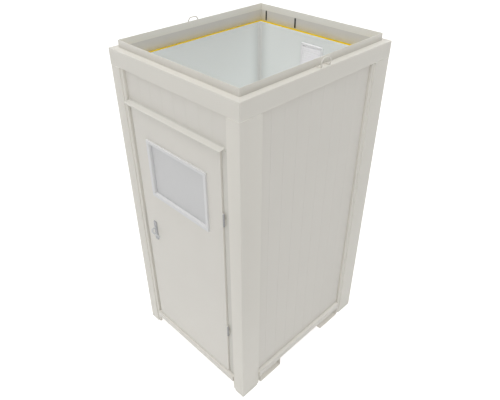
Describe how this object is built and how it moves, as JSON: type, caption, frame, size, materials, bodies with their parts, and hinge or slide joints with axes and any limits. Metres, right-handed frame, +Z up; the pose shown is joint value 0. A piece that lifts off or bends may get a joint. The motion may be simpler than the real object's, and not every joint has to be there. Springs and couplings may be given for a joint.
{
  "type": "sanitary container cabin",
  "caption": "Narrow steel-framed cabin of insulated panels with a windowed door, fork pockets, lifting eyes and an open roof frame.",
  "frame": {"origin": "on the ground, in the middle of the footprint of the four corner posts", "axes": "+Z up, the door faces -Y, +X is to the right for a person who looks at the door from outside"},
  "size_m": [1.2, 1.43, 2.5542],
  "materials": {
    "frame_paint": "semi-gloss pale grey-beige paint on folded steel",
    "floor_rail_paint": "semi-gloss pale grey-beige paint on folded steel",
    "panel_paint": "coated pale grey-beige sheet with fine upright ribs",
    "foam": "cut yellow rigid foam",
    "room_paint": "coated pale grey-green sheet",
    "floor_board": "plywood with a dark sealed edge",
    "floor_covering": "grey sheet vinyl",
    "door_frame_paint": "semi-gloss pale grey-beige paint",
    "door_paint": "semi-gloss pale grey-beige paint",
    "window_plastic": "satin pale grey plastic profile",
    "frosted_pane": "opaque grey frosted pane",
    "handle_metal": "satin aluminium",
    "hinge_steel": "zinc-plated steel",
    "eye_steel": "paint over bent round bar",
    "trim_plastic": "white plastic angle",
    "vent_plastic": "white plastic grille",
    "seal_rubber": "black rubber strip"
  },
  "bodies": {
    "cabin": {"post_front_left": "frame_paint", "post_front_right": "frame_paint", "post_back_left": "frame_paint", "post_back_right": "frame_paint", "roof_rail_front": "frame_paint", "roof_rail_back": "frame_paint", "roof_rail_left": "frame_paint", "roof_rail_right": "frame_paint", "floor_rail_front": "floor_rail_paint", "floor_rail_back": "floor_rail_paint", "floor_rail_left": "floor_rail_paint", "floor_rail_right": "floor_rail_paint", "fork_pocket_front": "floor_rail_paint", "fork_pocket_back": "floor_rail_paint", "floor_crossmembers": "floor_rail_paint", "floor_board": "floor_board", "floor_covering": "floor_covering", "outer_skin_left": "panel_paint", "outer_skin_right": "panel_paint", "outer_skin_back": "panel_paint", "outer_skin_front": "panel_paint", "insulation_left": "foam", "insulation_right": "foam", "insulation_back": "foam", "insulation_front": "foam", "inner_skin_left": "room_paint", "inner_skin_right": "room_paint", "inner_skin_back": "room_paint", "inner_skin_front": "room_paint", "door_jamb_left": "door_frame_paint", "door_jamb_right": "door_frame_paint", "door_head": "door_frame_paint", "rain_drip": "door_frame_paint", "vent_grille_inside": "vent_plastic", "vent_grille_outside": "vent_plastic", "lifting_eyes": "eye_steel", "corner_trims": "trim_plastic", "roof_seals": "seal_rubber", "hinge_frame_halves": "hinge_steel"},
    "door": {"hinge_door_halves": "hinge_steel", "door_leaf": "door_paint", "window_frame": "window_plastic", "window_pane": "frosted_pane", "handle_plates": "handle_metal"},
    "lever": {"door_lever": "handle_metal"}
  },
  "joints": [
    {"name": "door_hinge", "type": "hinge", "parent": "cabin", "child": "door", "pos_m": [0.436, -0.686, 1.145], "axis": [0, 0, 1], "range_deg": [0, 150]},
    {"name": "lever_turn", "type": "hinge", "parent": "door", "child": "lever", "pos_m": [-0.352, -0.684, 1.164], "axis": [0, 1, 0], "range_deg": [0, 45], "stiffness_Nm_per_rad": 2, "springref_deg": -20.05}
  ]
}
